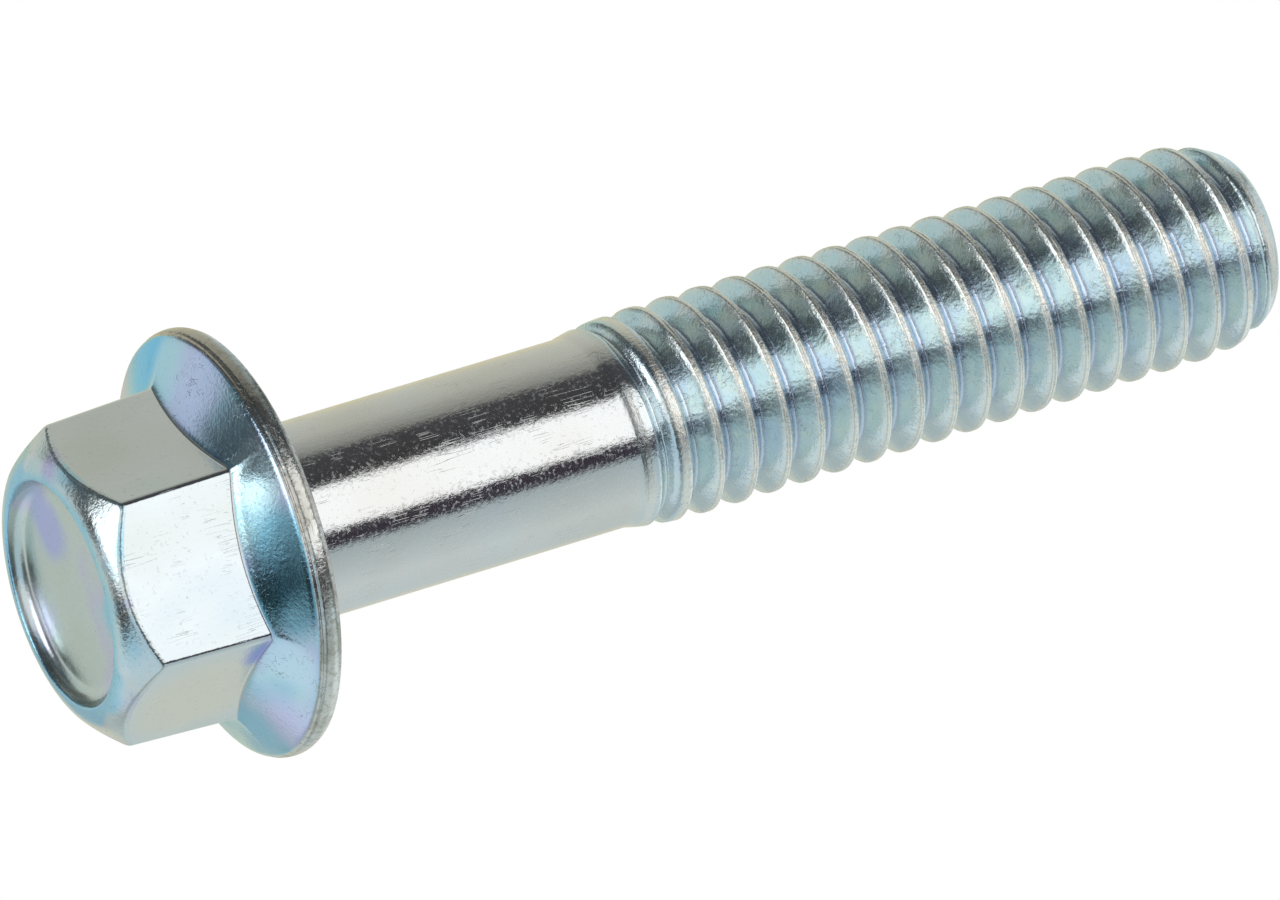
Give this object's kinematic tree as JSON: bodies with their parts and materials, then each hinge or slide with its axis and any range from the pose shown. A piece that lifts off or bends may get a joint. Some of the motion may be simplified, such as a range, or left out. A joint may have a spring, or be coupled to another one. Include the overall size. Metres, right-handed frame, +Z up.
{
  "type": "hex flange bolt",
  "caption": "Hex flange bolt with a dished head, a plain shank and a coarse rolled thread with a rounded tip.",
  "frame": {"origin": "middle of the head's top, in the plane of the crown ring that the bolt stands on", "axes": "+Z up the shank from the head to the tip, -Y is the outward direction of one flat of the hexagon"},
  "size_m": [0.0116, 0.0116, 0.0353],
  "materials": {
    "zinc_plated_steel": "satin"
  },
  "bodies": {
    "root": {"flange_bolt": "zinc_plated_steel"}
  },
  "joints": []
}
